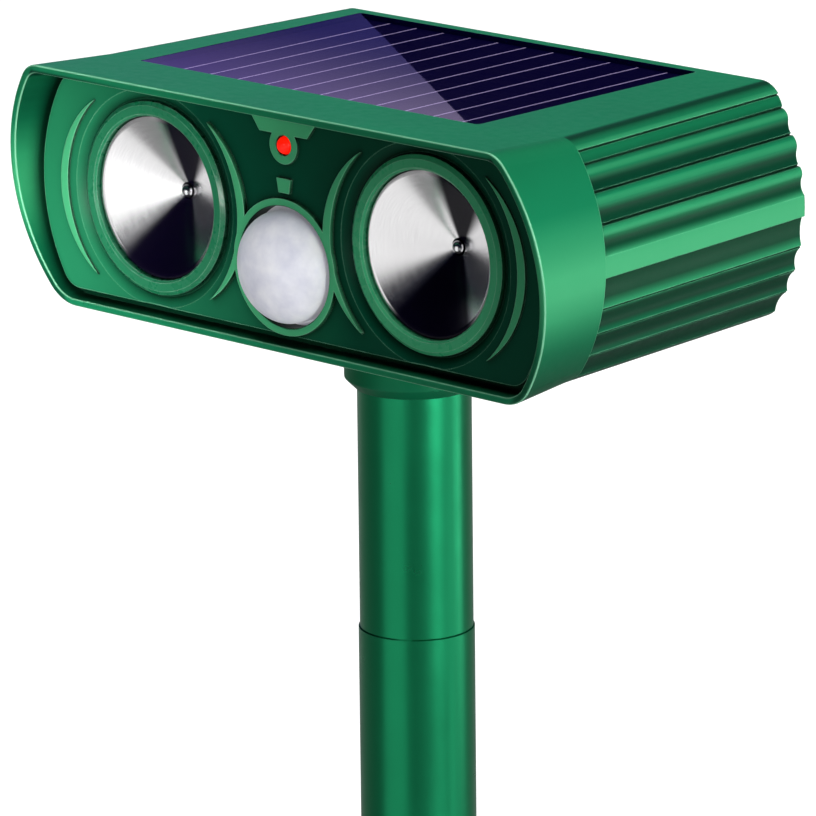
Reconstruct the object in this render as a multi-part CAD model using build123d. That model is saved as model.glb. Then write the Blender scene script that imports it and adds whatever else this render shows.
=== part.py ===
from build123d import *
import os
import math

# Solar ultrasonic pest repeller on a stake-mounted pole.
# Millimetres.  +Z up, -Y is the front (speakers), +X is to the right seen from the front.
# Origin: on the pole axis, at the ground line (underside of the stake's flange).

# ----------------------------------------------------------------- driving dimensions
head_top = 250.0            # flat top of the head
head_bottom = 196.9         # flat underside of the head behind the visor
head_back = 46.0            # rear edge of the housing
arc_z = 223.45              # height of the centre of the rounded sides
side_r = 42.0               # radius of the rounded sides
side_cx = 37.7              # centre of the side arc, at y = taper_y
taper_y = -45.9
taper = 0.0686              # each side moves inwards by this much per mm towards the back
visor_y = -26.0             # the visor flares from here to the front
visor_front_y = -52.0       # section that the visor is lofted to, before the raked cut
visor_top = 251.2
visor_bottom = 194.3
visor_r = 43.0
visor_cx = 37.1
rake_mid_y = -45.3          # raked plane of the rim: y at the height of arc_z
rake = 0.142                # mm of rake per mm of height
rim_wall = 1.7
corner_top_r = 6.0
corner_bottom_r = 9.0
wall_side = 3.4
wall_top = 3.4
wall_bottom = 2.7

fascia_front = -39.4
fascia_back = -36.4
fascia_hw = 75.5
fascia_r = 42.0
fascia_top = 247.1
fascia_bottom = 199.2

spk_x = 40.6
spk_z = 223.2
spk_ring_r = 21.6
spk_ring_in = 18.3
spk_groove_r = 24.4          # outer edge of the sloping recess round each speaker ring
spk_groove_in = 22.1         # foot of that slope
spk_groove_floor = -37.9
cone_r = 18.0
cone_rim_y = -38.0
cone_depth = 10.2
cone_hole_r = 1.9            # open middle of the cone, where the driver's ball shows
ball_r = 1.5

pir_z = 214.4
pir_ring_r = 15.1
pir_hole_r = 13.4
pir_lens_r = 12.4
pir_dome_y = -39.7           # foot of the lens dome
pir_dome = 8.3               # how far the dome stands out
led_z = 241.1
led_r = 2.0
led_hole_r = 2.15
relief = 1.0                # height of the raised ribs on the fascia

rib_start = -24.5           # the side ribs run from here to the back
rib_depth = 0.62            # depth of the side ribs, as a share of their drawn profile
rib_ref_r = 35.0            # the ribs are spaced by angle on a circle of this radius

panel_x0, panel_x1 = -56.2, 44.8
panel_y0, panel_y1 = -27.4, 42.9
panel_recess = 2.0
strip_first = 10.1
strip_pitch = 8.35
strip_lines = 11

rear_ledge_y0 = 38.8
rear_ledge_y1 = 41.8
cover_y0 = 42.6
cover_y1 = 45.2

cell_r = 7.1
cell_len = 50.0
cell_pitch = 14.7
bay_z = 223.2

knob_x, knob_z = 48.0, 229.0
port_x, port_z = 48.0, 211.5

collar_r = 15.5
collar_bottom = 180.3
tube_r = 12.7               # upper tube, 25.4 mm outside
lower_r = 13.0              # lower tube, 26 mm outside
tube_wall = 1.5
tube_joint_z = 125.2
tube_top_z = 203.5
bore_clear = 0.08           # radial clearance of every push fit
spigot_len = 25.0
flange_t = 3.0
stake_len = 150.0

os.makedirs("parts", exist_ok=True)


# ----------------------------------------------------------------- helpers
def out(name, shape):
    export_step(shape, "parts/%s.step" % name)


def cyl_y(x, z, r, y0, y1):
    return Pos(x, (y0 + y1) / 2.0, z) * Rot(-90, 0, 0) * Cylinder(r, y1 - y0)


def cyl_z(x, y, r, z0, z1):
    return Pos(x, y, (z0 + z1) / 2.0) * Cylinder(r, z1 - z0)


def box(x0, x1, y0, y1, z0, z1):
    return Pos((x0 + x1) / 2.0, (y0 + y1) / 2.0, (z0 + z1) / 2.0) * Box(x1 - x0, y1 - y0, z1 - z0)


def rbox_y(x0, x1, z0, z1, y0, y1, r):
    # box with rounded corners seen along Y
    s = Pos((x0 + x1) / 2.0, 0, (z0 + z1) / 2.0) * Rot(90, 0, 0) * RectangleRounded(x1 - x0, z1 - z0, r)
    return Solid.extrude(Pos(0, y0, 0) * s.face(), Vector(0, y1 - y0, 0))


def rbox_z(x0, x1, y0, y1, z0, z1, r):
    s = Pos((x0 + x1) / 2.0, (y0 + y1) / 2.0, z0) * RectangleRounded(x1 - x0, y1 - y0, r)
    return Solid.extrude(s.face(), Vector(0, 0, z1 - z0))


def turned_y(pts, x, z):
    # solid of revolution about a Y axis: pts are (radius, y)
    f = Face(Wire(Polyline(*[(p[0], p[1], 0) for p in pts], close=True).edges()))
    return Pos(x, 0, z) * revolve(f, Axis.Y, 360)


def cx_at(y):
    return side_cx - taper * (y - taper_y)


def section_edges(y, r, cx, zt, zb):
    xt = cx + math.sqrt(r * r - (zt - arc_z) ** 2)
    xb = cx + math.sqrt(r * r - (zb - arc_z) ** 2)
    return [
        Line((-xt, y, zt), (xt, y, zt)),
        ThreePointArc((xt, y, zt), (cx + r, y, arc_z), (xb, y, zb)),
        Line((xb, y, zb), (-xb, y, zb)),
        ThreePointArc((-xb, y, zb), (-cx - r, y, arc_z), (-xt, y, zt)),
    ]


def section_face(y, r, cx, zt, zb, ft=0.0, fb=0.0):
    f = Face(Wire([e.edge() for e in section_edges(y, r, cx, zt, zb)]))
    if ft > 0:
        f = f.fillet_2d(ft, [v for v in f.vertices() if v.Z > arc_z])
    if fb > 0:
        f = f.fillet_2d(fb, [v for v in f.vertices() if abs(v.Z - zb) < 1e-4])
    return f


def lofted(sections):
    return Solid.make_loft([s.outer_wire() for s in sections], ruled=True)


def prism_y(face, y1):
    y0 = face.center().Y
    return Solid.extrude(face, Vector(0, y1 - y0, 0))


def head_section(y, inset, zt, zb, ft=0.0, fb=0.0):
    return section_face(y, side_r - inset, cx_at(y), zt, zb, ft, fb)


def visor_section(y, inset, zt_in, zb_in, ft=0.0, fb=0.0):
    # section between the visor's front and its root, with the given insets
    t = (y - visor_front_y) / (visor_y - visor_front_y)
    zt = visor_top + (head_top - visor_top) * t
    zb = visor_bottom + (head_bottom - visor_bottom) * t
    r = visor_r + (side_r - visor_r) * t
    hw_f = visor_cx + visor_r
    hw_b = cx_at(visor_y) + side_r
    hw = hw_f + (hw_b - hw_f) * t
    return section_face(y, r - inset, hw - r, zt - zt_in, zb + zb_in, ft, fb)


# ----------------------------------------------------------------- housing shell
body = lofted([
    visor_section(visor_front_y, 0, 0, 0, corner_top_r, corner_bottom_r),
    visor_section(visor_y, 0, 0, 0, corner_top_r, corner_bottom_r),
])
rear_body = lofted([
    visor_section(visor_y, 0, 0, 0, corner_top_r, corner_bottom_r),
    head_section(head_back, 0, head_top, head_bottom, corner_top_r, corner_bottom_r),
])
body = body + rear_body

# raked front cut
zt_c, zb_c = 262.0, 184.0
rake_face = Face(Wire(Polyline(
    (-100, -80, zb_c),
    (-100, rake_mid_y - rake * (zb_c - arc_z), zb_c),
    (-100, rake_mid_y - rake * (zt_c - arc_z), zt_c),
    (-100, -80, zt_c), close=True).edges()))
rake_tool = Solid.extrude(rake_face, Vector(200, 0, 0))
body = body - rake_tool


def on_rake(e):
    return all(abs(p.Y - (rake_mid_y - rake * (p.Z - arc_z))) < 1e-3
               for p in (e.position_at(0.0), e.position_at(0.37), e.position_at(1.0)))


def try_fillet(shape, edges, radius, what):
    try:
        done = shape.fillet(radius, edges)
        if done.is_valid and done.volume > 0.5 * shape.volume:
            return done
    except Exception:
        pass
    print("no fillet on", what)
    return shape


body = body.solid()
body = try_fillet(body, [e for e in body.edges() if on_rake(e)], 0.5, "rim outer edge")


def polar(cx, phi, dr):
    a = math.asin(rib_ref_r * math.sin(math.radians(phi)) / side_r)
    if dr < 0:
        dr = dr * rib_depth
    return (cx + (side_r + dr) * math.cos(a), rib_start, arc_z + (side_r + dr) * math.sin(a))


def rib_tool():
    # everything outside the ribbed outline, from the band to the back
    c = cx_at(rib_start)
    seq = [
        ("L", (43.87, 1.2), (43.87, 0.0)),
        ("L", None, (43.6, -1.0)),
        ("L", None, (43.1, -0.45)),
        ("A", (41.0, -0.42), (38.6, -0.8)),
        ("L", None, (38.1, -1.6)),
        ("L", None, (37.6, -0.95)),
        ("A", (35.4, -0.12), (32.4, -0.75)),
        ("A", (30.4, -1.5), (27.7, -1.45)),
        ("L", None, (27.15, -2.2)),
        ("L", None, (26.7, -0.95)),
        ("A", (24.4, -0.12), (21.2, -0.8)),
        ("A", (18.9, -1.65), (15.9, -1.5)),
        ("L", None, (15.35, -2.2)),
        ("L", None, (14.9, -0.95)),
        ("A", (13.1, -0.2), (10.6, -0.9)),
        ("A", (8.0, -1.45), (4.4, -0.1)),
        ("A", (0.6, -0.05), (-3.2, -0.05)),
        ("L", None, (-3.7, -1.3)),
        ("A", (-7.6, -1.75), (-14.25, -0.12)),
        ("L", None, (-14.65, -0.9)),
        ("L", None, (-15.0, -0.3)),
        ("A", (-18.9, -1.75), (-24.0, -0.12)),
        ("L", None, (-24.4, -0.9)),
        ("L", None, (-24.75, -0.3)),
        ("A", (-28.6, -1.7), (-33.6, -0.12)),
        ("L", None, (-34.0, -0.9)),
        ("L", None, (-34.35, -0.3)),
        ("A", (-38.6, -1.6), (-45.7, 0.0)),
        ("L", None, (-45.7, 1.2)),
    ]
    edges = []
    cur = polar(c, *seq[0][1])
    for i, (kind, a, b) in enumerate(seq):
        nxt = polar(c, *b)
        if kind == "L":
            edges.append(Line(cur, nxt).edge())
        else:
            edges.append(ThreePointArc(cur, polar(c, *a), nxt).edge())
        cur = nxt
    edges.append(ThreePointArc(cur, polar(c, -1.0, 1.2), polar(c, *seq[0][1])).edge())
    f = Face(Wire(edges))
    n = 76.0
    return Solid.extrude(f, Vector(-taper * n, n, 0))


ribs = rib_tool()
body = body - ribs
body = body - mirror(ribs, Plane.YZ)

# front bay behind the rim, ledge for the fascia, main cavity, rear ledge and rear recess
bay_r = visor_r + (side_r - visor_r) * 0.6 - rim_wall
bay_hw = (visor_cx + visor_r) + ((cx_at(visor_y) + side_r) - (visor_cx + visor_r)) * 0.6 - rim_wall
bay = lofted([
    section_face(visor_front_y, visor_r - rim_wall, visor_cx, visor_top - 1.85, 196.75, 4.6, 7.0),
    section_face(fascia_back, bay_r, bay_hw - bay_r, 248.6, 197.2, 4.6, 7.0),
])
ledge = prism_y(section_face(fascia_back, 38.5, 35.8, 245.6, 200.4, 3.6, 4.6), -33.2)
cavity = lofted([
    head_section(-33.2, wall_side, head_top - wall_top, head_bottom + wall_bottom, 3.0, 3.0),
    head_section(rear_ledge_y0, wall_side, head_top - wall_top, head_bottom + wall_bottom, 3.0, 3.0),
])
rear_ledge = lofted([
    head_section(rear_ledge_y0, wall_side + 2.0, 244.6, 201.2, 3.0, 3.0),
    head_section(rear_ledge_y1, wall_side + 2.0, 244.6, 201.2, 3.0, 3.0),
])
rear_recess = lofted([
    head_section(rear_ledge_y1, wall_side, head_top - wall_top, head_bottom + wall_bottom, 3.0, 3.0),
    head_section(head_back + 1.0, wall_side, head_top - wall_top, head_bottom + wall_bottom, 3.0, 3.0),
])
for tool in (bay, ledge, cavity, rear_ledge, rear_recess):
    body = body - tool
body = body.solid()
rim_face = max([f for f in body.faces() if f.geom_type == GeomType.PLANE and abs(f.normal_at().Y + math.cos(math.atan(rake))) < 1e-3
                and abs(f.center().Y - rake_mid_y) < 8], key=lambda f: f.area)
body = try_fillet(body, list(rim_face.inner_wires()[0].edges()), 0.35, "rim inner edge")

# bosses for the rear cover's screws
boss_x, boss_top_z, boss_bot_z, boss_r = 55.0, 242.1, 203.6, 4.7
for sx in (-1, 1):
    for z in (boss_top_z, boss_bot_z):
        body = body + cyl_y(sx * boss_x, z, boss_r, 22.0, rear_ledge_y1)
for sx in (-1, 1):
    for z in (boss_top_z, boss_bot_z):
        body = body - cyl_y(sx * boss_x, z, 1.25, 28.0, rear_ledge_y1 + 1)

# recess for the solar panel and the hole for its leads
body = body - rbox_z(panel_x0 - 0.25, panel_x1 + 0.25, panel_y0 - 0.25, panel_y1 + 0.25,
                     head_top - panel_recess, head_top + 1, 1.0)
body = body.solid()
body = body - cyl_z(0, 30, 2.5, 240, 249)
# hole for the pole socket
body = body - cyl_z(0, 0, 14.5, 190, 203)
housing = body
out("housing_shell", housing)

# ----------------------------------------------------------------- front fascia
fas_cx = fascia_hw - fascia_r


def fascia_outline(y):
    return section_face(y, fascia_r, fas_cx, fascia_top, fascia_bottom, 4.0, 5.4)


fascia = prism_y(fascia_outline(fascia_front), fascia_back)


def crescent(sx, side, y0, y1):
    # raised rib beside a speaker; side +1 is away from the middle
    s = sx * side
    cx = sx * spk_x
    tip_x, tip_z = cx + s * 17.7, 19.8
    outer = ThreePointArc((tip_x, y0, spk_z + tip_z), (cx + s * 28.9, y0, spk_z), (tip_x, y0, spk_z - tip_z))
    inner = ThreePointArc((tip_x, y0, spk_z - tip_z), (cx + s * 26.7, y0, spk_z), (tip_x, y0, spk_z + tip_z))
    f = Face(Wire([outer.edge(), inner.edge()]))
    return Solid.extrude(f, Vector(0, y1 - y0, 0))


def poly_y(pts, y0, y1):
    f = Face(Wire(Polyline(*[(p[0], y0, p[1]) for p in pts], close=True).edges()))
    return Solid.extrude(f, Vector(0, y1 - y0, 0))


top_y = fascia_front - relief
for sx in (-1, 1):
    fascia = fascia - turned_y([(0.0, -45.0), (spk_groove_r, -45.0), (spk_groove_r, fascia_front), (spk_groove_in, spk_groove_floor),
                                (0.0, spk_groove_floor)], sx * spk_x, spk_z)
raised = cyl_y(0, pir_z, pir_ring_r, top_y, fascia_back)
for sx in (-1, 1):
    raised = raised + crescent(sx, -1, top_y, fascia_back)
    raised = raised + crescent(sx, 1, fascia_front - 0.5, fascia_back)
lamp_y = fascia_front - 0.6
raised = raised + cyl_y(0, led_z, 4.1, lamp_y, fascia_back)
raised = raised + poly_y([(-10.6, 248.2), (10.6, 248.2), (7.1, 243.5), (-7.1, 243.5)], lamp_y, fascia_back)
raised = raised + poly_y([(-2.1, 233.9), (2.1, 233.9), (1.6, 230.7), (-1.6, 230.7)], fascia_front - 0.7, fascia_back)
fascia = fascia + raised
for sx in (-1, 1):
    fascia = fascia + cyl_y(sx * spk_x, spk_z, 21.9, fascia_back, -33.4)
    fascia = fascia - cyl_y(sx * spk_x, spk_z, 19.9, -45.0, -30.0)
fascia = fascia - cyl_y(0, pir_z, pir_hole_r, -45.0, -30.0)
fascia = fascia - cyl_y(0, led_z, led_hole_r, -45.0, -30.0)
post_xz = [(-18.5, 240.0), (18.5, 240.0), (-19.5, 209.5), (19.5, 209.5)]
for px, pz in post_xz:
    fascia = fascia + cyl_y(px, pz, 3.0, fascia_back, 0.0)
for px, pz in post_xz:
    fascia = fascia - cyl_y(px, pz, 1.0, -9.0, 1.0)
fascia = fascia.solid()
soft = [e for e in fascia.edges() if e.geom_type == GeomType.CIRCLE and (
    (abs(e.center().Y - top_y) < 1e-3 and abs(e.radius - pir_hole_r) < 1e-3)
    or (abs(e.center().Y - lamp_y) < 1e-3 and abs(e.radius - led_hole_r) < 1e-3))]
fascia = try_fillet(fascia, soft, 0.3, "lens and lamp hole edges")
out("front_fascia", fascia)

# ----------------------------------------------------------------- speakers
for side, sx in (("left", -1), ("right", 1)):
    ring = turned_y([
        (spk_ring_in, -39.1), (spk_ring_in + 0.5, -39.6), (spk_ring_r - 0.9, -39.6), (spk_ring_r, -38.9),
        (spk_ring_r, spk_groove_floor), (19.7, spk_groove_floor), (19.7, -33.4), (spk_ring_in, -33.4)], sx * spk_x, spk_z)
    out("speaker_ring_" + side, ring)
    t = 0.6
    mouth = cone_rim_y + cone_depth * (1.0 - cone_hole_r / cone_r)
    cone = turned_y([
        (cone_r, cone_rim_y), (cone_r, -33.4), (cone_r - 0.6, -33.4), (cone_r - 0.6, cone_rim_y + 0.75),
        (cone_hole_r, mouth + t), (cone_hole_r, mouth), (17.3, cone_rim_y)], sx * spk_x, spk_z)
    out("speaker_cone_" + side, cone)
    ball = Pos(sx * spk_x, mouth + 0.1, spk_z) * Sphere(ball_r)
    ball = ball + cyl_y(sx * spk_x, spk_z, 0.9, mouth + 0.1, -24.5)
    out("cone_ball_" + side, ball)
    driver = turned_y([
        (15.0, -33.4), (21.8, -33.4), (21.8, -31.9), (17.0, -31.9), (16.0, -30.5), (16.0, -23.0), (12.0, -23.0),
        (12.0, -15.5), (0.0, -15.5), (0.0, -24.5), (14.4, -24.5), (14.4, -31.9), (15.0, -31.9)], sx * spk_x, spk_z)
    out("speaker_driver_" + side, driver)

# ----------------------------------------------------------------- motion sensor and lamp
lens_shell = 0.9             # wall of the lens dome
lens_bore = 11.5
outer_dome = EllipticalCenterArc((0, pir_dome_y), pir_lens_r, pir_dome, start_angle=270, arc_size=90)
inner_dome = EllipticalCenterArc((0, pir_dome_y), lens_bore, pir_dome - lens_shell, start_angle=270, arc_size=90)
rim_line = Polyline((pir_lens_r, pir_dome_y), (pir_lens_r, fascia_back), (13.9, fascia_back), (13.9, -35.2), (lens_bore, -35.2),
                    (lens_bore, pir_dome_y))
axis_line = Line((0, pir_dome_y - pir_dome + lens_shell), (0, pir_dome_y - pir_dome))
lens_face = Face(Wire(list(outer_dome.edges()) + list(rim_line.edges()) + list(inner_dome.edges()) + list(axis_line.edges())))
lens = Pos(0, 0, pir_z) * revolve(lens_face, Axis.Y, 360)
out("pir_lens", lens)

retainer = cyl_y(0, pir_z, 13.9, -35.2, -33.7) - cyl_y(0, pir_z, 11.7, -36.0, -33.0)
for sx in (-1, 1):
    retainer = retainer + cyl_y(sx * 12.2, pir_z, 1.6, -34.4, -27.0)
out("pir_retainer", retainer)
out("pir_board", box(-13.9, 13.9, -27.0, -25.8, pir_z - 7.0, pir_z + 7.0))
sensor = cyl_y(0, pir_z, 4.6, -31.4, -27.0) + cyl_y(0, pir_z, 4.9, -27.5, -27.0)
sensor = sensor - box(-2.0, 2.0, -32.0, -31.0, pir_z - 1.5, pir_z + 1.5)
out("pir_sensor", sensor)
led = cyl_y(0, led_z, led_r, -39.1, -34.8) + cyl_y(0, led_z, 2.6, fascia_back, -35.4)
led = led + (Pos(0, -39.1, led_z) * Sphere(led_r) & cyl_y(0, led_z, led_r, -43.0, -39.1))
led = led + cyl_y(-1.27, led_z, 0.3, -34.8, 0.0) + cyl_y(1.27, led_z, 0.3, -34.8, 0.0)
out("led_indicator", led)

# ----------------------------------------------------------------- main board
pcb = box(-30, 30, 0.0, 1.6, 206.8, 244.0)
for px, pz in post_xz:
    pcb = pcb - cyl_y(px, pz, 1.3, -1.0, 3.0)
out("main_pcb", pcb)
screws = None
for px, pz in post_xz:
    s = cyl_y(px, pz, 2.4, 1.6, 3.2) + cyl_y(px, pz, 1.0, -7.0, 1.6)
    s = s - box(px - 1.8, px + 1.8, 2.6, 3.6, pz - 0.3, pz + 0.3)
    screws = s if screws is None else screws + s
out("board_screws", screws)
chip = box(-6, 6, 1.6, 3.4, 216, 228)
for i in range(8):
    z = 216.9 + i * 1.457
    chip = chip + box(-7.4, 7.4, 1.6, 2.2, z - 0.25, z + 0.25)
out("control_chip", chip)
caps = Part() + cyl_y(-14.0, 232.5, 3.15, 1.6, 9.6) + cyl_y(-14.0, 224.5, 2.5, 1.6, 8.6) + cyl_y(13.0, 233.5, 3.15, 1.6, 9.6)
out("capacitors", caps)
for side, sx in (("left", -1), ("right", 1)):
    x = sx * 23.2
    tr = box(x - 5.0, x + 5.0, 1.6, 10.6, 218.0, 230.0)
    tr = tr - box(x - 5.5, x - 3.4, 3.4, 8.8, 220.0, 228.0) - box(x + 3.4, x + 5.5, 3.4, 8.8, 220.0, 228.0)
    out("drive_transformer_" + side, tr)

# ----------------------------------------------------------------- solar panel, in the top recess
z0 = head_top - panel_recess
out("solar_backsheet", rbox_z(panel_x0, panel_x1, panel_y0, panel_y1, z0, z0 + 0.7, 0.8))
line_x = [panel_x0 + strip_first + i * strip_pitch for i in range(strip_lines)]
edges_x = [panel_x0 + 0.9] + line_x + [panel_x1 - 0.9]
cells = Part()
bars = Part()
lw = 0.24
for i in range(len(edges_x) - 1):
    a = edges_x[i] + (lw if i > 0 else 0)
    b = edges_x[i + 1] - (lw if i < len(edges_x) - 2 else 0)
    cells = cells + box(a, b, panel_y0 + 0.9, panel_y1 - 0.9, z0 + 0.7, z0 + 0.95)
for x in line_x:
    bars = bars + box(x - lw, x + lw, panel_y0 + 0.9, panel_y1 - 0.9, z0 + 0.7, z0 + 0.95)
out("solar_cells", cells)
out("solar_busbars", bars)
# the cover stands 0.05 mm clear of the cells; its edge comes down on to the backsheet
glass = rbox_z(panel_x0, panel_x1, panel_y0, panel_y1, z0 + 0.7, head_top - 0.05, 0.8)
glass = glass - box(panel_x0 + 0.85, panel_x1 - 0.85, panel_y0 + 0.85, panel_y1 - 0.85, z0 + 0.6, z0 + 1.0)
out("solar_glass", glass)

# ----------------------------------------------------------------- rear cover, gasket, controls
gasket = lofted([head_section(rear_ledge_y1, wall_side + 0.3, 246.3, 199.9, 2.8, 2.8),
                 head_section(cover_y0, wall_side + 0.3, 246.3, 199.9, 2.8, 2.8)])
gasket = gasket - lofted([head_section(rear_ledge_y1 - 0.5, wall_side + 1.7, 244.9, 200.9, 2.8, 2.8),
                          head_section(cover_y0 + 0.5, wall_side + 1.7, 244.9, 200.9, 2.8, 2.8)])
for sx in (-1, 1):
    for z in (boss_top_z, boss_bot_z):
        gasket = gasket - cyl_y(sx * boss_x, z, 1.6, 40, 44)
out("rear_gasket", gasket)

cover = lofted([head_section(cover_y0, wall_side + 0.25, 246.35, 199.85, 2.8, 2.8),
                head_section(cover_y1, wall_side + 0.25, 246.35, 199.85, 2.8, 2.8)])
door_hx, door_hz = 35.8, 16.0
cover = cover - rbox_y(-door_hx - 0.3, door_hx + 0.3, bay_z - door_hz - 0.3, bay_z + door_hz + 0.3, 43.6, 46.0, 2.6)
cover = cover - rbox_y(-27.9, 27.9, bay_z - 14.7, bay_z + 14.7, 42.0, 46.0, 1.2)
door_screw_x = 32.6
for sx in (-1, 1):
    cover = cover + cyl_y(sx * door_screw_x, bay_z, 2.2, 37.0, 42.8)
    cover = cover - cyl_y(sx * door_screw_x, bay_z, 0.95, 37.6, 44.0)
for sx in (-1, 1):
    for z in (boss_top_z, boss_bot_z):
        cover = cover - cyl_y(sx * boss_x, z, 1.6, 42.0, 46.0)
        cover = cover - cyl_y(sx * boss_x, z, 3.1, 44.0, 46.0)
    cover = cover - cyl_y(sx * knob_x, knob_z, 3.3, 42.0, 46.0)
# dial ticks around each knob
for sx in (-1, 1):
    for k in range(7):
        a = math.radians(-60 + k * 50)
        tick = Pos(sx * knob_x + 9.0 * math.sin(a), cover_y1 + 0.1, knob_z + 9.0 * math.cos(a)) * Rot(0, math.degrees(a), 0) * Box(0.6, 0.6, 1.6)
        cover = cover + tick
# switch window and charging-port slot
cover = cover - rbox_y(-52.5, -43.5, port_z - 2.5, port_z + 2.5, 42.0, 46.0, 0.6)
cover = cover - rbox_y(port_x - 5.0, port_x + 5.0, port_z - 2.1, port_z + 2.1, 42.0, 46.0, 1.6)
# hinge ears for the port flap
hinge_z = port_z + 6.4
hinge_y = 46.6
for s in (-1, 1):
    ear = box(port_x + s * 7.6 - 0.9, port_x + s * 7.6 + 0.9, 44.8, hinge_y, hinge_z - 1.4, hinge_z + 1.4)
    ear = ear + (Pos(port_x + s * 7.6, hinge_y, hinge_z) * Rot(0, 90, 0) * Cylinder(1.4, 1.8))
    cover = cover + ear
cover = cover - (Pos(port_x, hinge_y, hinge_z) * Rot(0, 90, 0) * Cylinder(0.66, 20))
out("rear_cover", cover)

rs = Part()
for sx in (-1, 1):
    for z in (boss_top_z, boss_bot_z):
        s = cyl_y(sx * boss_x, z, 2.8, 44.0, 45.6) + cyl_y(sx * boss_x, z, 1.25, 29.0, 44.0)
        s = s - box(sx * boss_x - 1.9, sx * boss_x + 1.9, 44.9, 46.0, z - 0.35, z + 0.35)
        s = s - box(sx * boss_x - 0.35, sx * boss_x + 0.35, 44.9, 46.0, z - 1.9, z + 1.9)
        rs = rs + s
out("rear_cover_screws", rs)

door = rbox_y(-door_hx, door_hx, bay_z - door_hz, bay_z + door_hz, 43.6, cover_y1, 2.4)
for sx in (-1, 1):
    door = door - cyl_y(sx * door_screw_x, bay_z, 1.15, 43.0, 46.0)
    door = door - cyl_y(sx * door_screw_x, bay_z, 2.3, 44.4, 46.0)
for k in range(5):
    z = bay_z - 5.2 + k * 2.6
    door = door - box(-9.0, 9.0, 44.6, 46.0, z - 0.55, z + 0.55)
out("battery_door", door)
ds = Part()
for sx in (-1, 1):
    s = cyl_y(sx * door_screw_x, bay_z, 2.1, 44.4, 45.5) + cyl_y(sx * door_screw_x, bay_z, 0.85, 38.0, 44.4)
    s = s - box(sx * door_screw_x - 1.4, sx * door_screw_x + 1.4, 44.9, 46.0, bay_z - 0.3, bay_z + 0.3)
    s = s - box(sx * door_screw_x - 0.3, sx * door_screw_x + 0.3, 44.9, 46.0, bay_z - 1.4, bay_z + 1.4)
    ds = ds + s
out("battery_door_screws", ds)

# battery holder: open to the rear, two cells behind the door and a third nested between them
cell_y_rear = 34.6
cell_y_front = cell_y_rear - 12.7
hold = box(-29.9, 29.9, 13.2, cover_y0, bay_z - 16.1, bay_z + 16.1)
hold = hold - box(-28.5, 28.5, 26.0, 43.0, bay_z - 14.7, bay_z + 14.7)
hold = hold - (Pos(0, 0, 0) * box(-28.5, 28.5, 14.6, 30.0, bay_z - 7.6, bay_z + 7.6))
out("battery_holder", hold)
cellset = Part()
cell_pos = [(cell_y_rear, bay_z + cell_pitch / 2.0, 1), (cell_y_rear, bay_z - cell_pitch / 2.0, -1), (cell_y_front, bay_z, 1)]
for cy, cz, d in cell_pos:
    c = Pos(0, cy, cz) * Rot(0, 90, 0) * Cylinder(cell_r, cell_len - 1.2)
    c = c + Pos(d * (cell_len / 2.0 - 0.3), cy, cz) * Rot(0, 90, 0) * Cylinder(2.7, 1.8)
    cellset = cellset + c
out("battery_cells", cellset)
contacts = Part()
for cy, cz, d in cell_pos:
    contacts = contacts + box(min(d * 28.5, d * 28.0), max(d * 28.5, d * 28.0), cy - 4.0, cy + 4.0, cz - 4.0, cz + 4.0)
    contacts = contacts + (Pos(d * 26.9, cy, cz) * Rot(0, 90, 0) * Cylinder(1.6, 2.4))
    contacts = contacts + box(min(-d * 28.5, -d * 28.0), max(-d * 28.5, -d * 28.0), cy - 4.0, cy + 4.0, cz - 4.0, cz + 4.0)
    spring = Pos(-d * 26.25, cy, cz) * Rot(0, 90, 0) * (Cylinder(3.4, 3.5) - Cylinder(2.6, 5.0))
    contacts = contacts + spring
out("battery_contacts", contacts)

for side, sx in (("frequency", -1), ("sensitivity", 1)):
    x = sx * knob_x
    pot = cyl_y(x, knob_z, 8.0, 35.4, 42.6)
    pot = pot - cyl_y(x, knob_z, 3.0, 36.6, 43.0)
    out(side + "_potentiometer", pot)
    knob = cyl_y(x, knob_z, 7.0, 45.8, 52.0)
    knob = chamfer(knob.edges().filter_by(GeomType.CIRCLE).sort_by(Axis.Y)[-1], 0.6)
    for k in range(18):
        a = math.radians(k * 20 + 10)
        knob = knob - cyl_y(x + 7.5 * math.sin(a), knob_z + 7.5 * math.cos(a), 0.85, 46.8, 53.0)
    knob = knob - box(x - 0.45, x + 0.45, 51.4, 53.0, knob_z + 1.5, knob_z + 7.5)
    knob = knob + cyl_y(x, knob_z, 2.92, 37.0, 45.8)
    out(side + "_knob", knob)

sw = box(-54.0, -42.0, 35.8, 42.6, port_z - 3.2, port_z + 3.2)
sw = sw - box(-52.6, -43.4, 38.4, 43.0, port_z - 2.6, port_z + 2.6)
out("power_switch_body", sw)
slider = box(-52.1, -47.9, 38.7, 46.4, port_z - 2.1, port_z + 2.1)
for k in range(3):
    xx = -51.2 + k * 1.2
    slider = slider - box(xx - 0.2, xx + 0.2, 45.9, 47.0, port_z - 3, port_z + 3)
out("power_switch_slider", slider)

shell = rbox_y(port_x - 4.7, port_x + 4.7, port_z - 1.8, port_z + 1.8, 36.4, 44.4, 1.5)
shell = shell - rbox_y(port_x - 4.3, port_x + 4.3, port_z - 1.4, port_z + 1.4, 37.6, 46.0, 1.2)
shell = shell + box(port_x - 3.3, port_x + 3.3, 37.2, 43.4, port_z - 0.35, port_z + 0.35)
out("charge_port", shell)
flap = rbox_y(port_x - 6.4, port_x + 6.4, port_z - 4.2, hinge_z - 0.2, 45.6, 47.0, 1.0)
flap = flap + rbox_y(port_x - 4.4, port_x + 4.4, port_z - 1.5, port_z + 1.5, 44.7, 45.8, 0.8)
barrel = Pos(port_x, hinge_y, hinge_z) * Rot(0, 90, 0) * Cylinder(1.3, 12.8)
flap = flap + box(port_x - 6.4, port_x + 6.4, 45.8, 47.0, hinge_z - 1.6, hinge_z) + barrel
flap = flap - (Pos(port_x, hinge_y, hinge_z) * Rot(0, 90, 0) * Cylinder(0.66, 14))
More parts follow.
